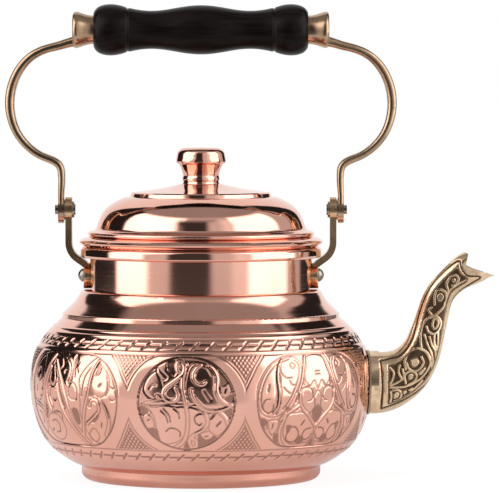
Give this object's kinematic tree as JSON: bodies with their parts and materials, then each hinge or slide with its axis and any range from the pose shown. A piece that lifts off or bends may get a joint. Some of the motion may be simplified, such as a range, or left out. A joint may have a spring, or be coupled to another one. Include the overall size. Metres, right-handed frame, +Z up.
{
  "type": "kettle",
  "caption": "Engraved copper kettle with a lift-off domed lid, a cast brass spout and a swinging bail handle with a dark wooden grip.",
  "frame": {"origin": "middle of the flat foot, on the surface that the kettle stands on", "axes": "+Z up along the pot's axis, +X towards the spout, +Y to the far side; the bail swings about X"},
  "size_m": [0.2453, 0.1706, 0.2369],
  "materials": {
    "copper": "polished copper with engraved ornament",
    "copper_satin": "satin copper",
    "brass": "cast brass, darkened in the recesses",
    "solder": "dull solder",
    "steel": "plain steel",
    "dark_wood": "very dark stained and varnished wood"
  },
  "bodies": {
    "kettle": {"base_pan": "copper_satin", "belly_shell": "copper", "neck_shell": "copper", "rim_band": "copper", "rim_wire": "steel", "spout": "brass", "spout_seat": "solder", "ear_left": "brass", "ear_right": "brass", "ear_rivet_left": "steel", "ear_rivet_right": "steel", "rivet_burr_left": "steel", "rivet_burr_right": "steel", "pivot_pin_left": "steel", "pivot_pin_right": "steel", "pivot_washer_left": "steel", "pivot_washer_right": "steel", "pivot_spacer_left": "brass", "pivot_spacer_right": "brass"},
    "lid": {"lid_shell": "copper", "lid_collar": "copper", "lid_knob": "copper", "knob_washer": "steel", "knob_screw": "steel"},
    "bail": {"bail_arm_left": "brass", "bail_arm_right": "brass", "grip": "dark_wood", "grip_rod": "steel"}
  },
  "joints": [
    {"name": "bail_swing", "type": "hinge", "parent": "kettle", "child": "bail", "pos_m": [0, 0, 0.1344], "axis": [1, 0, 0], "range_deg": [-118, 118]},
    {"name": "lid_lift", "type": "slide", "parent": "kettle", "child": "lid", "axis": [0, 0, 1], "range_m": [0, 0.04]}
  ]
}
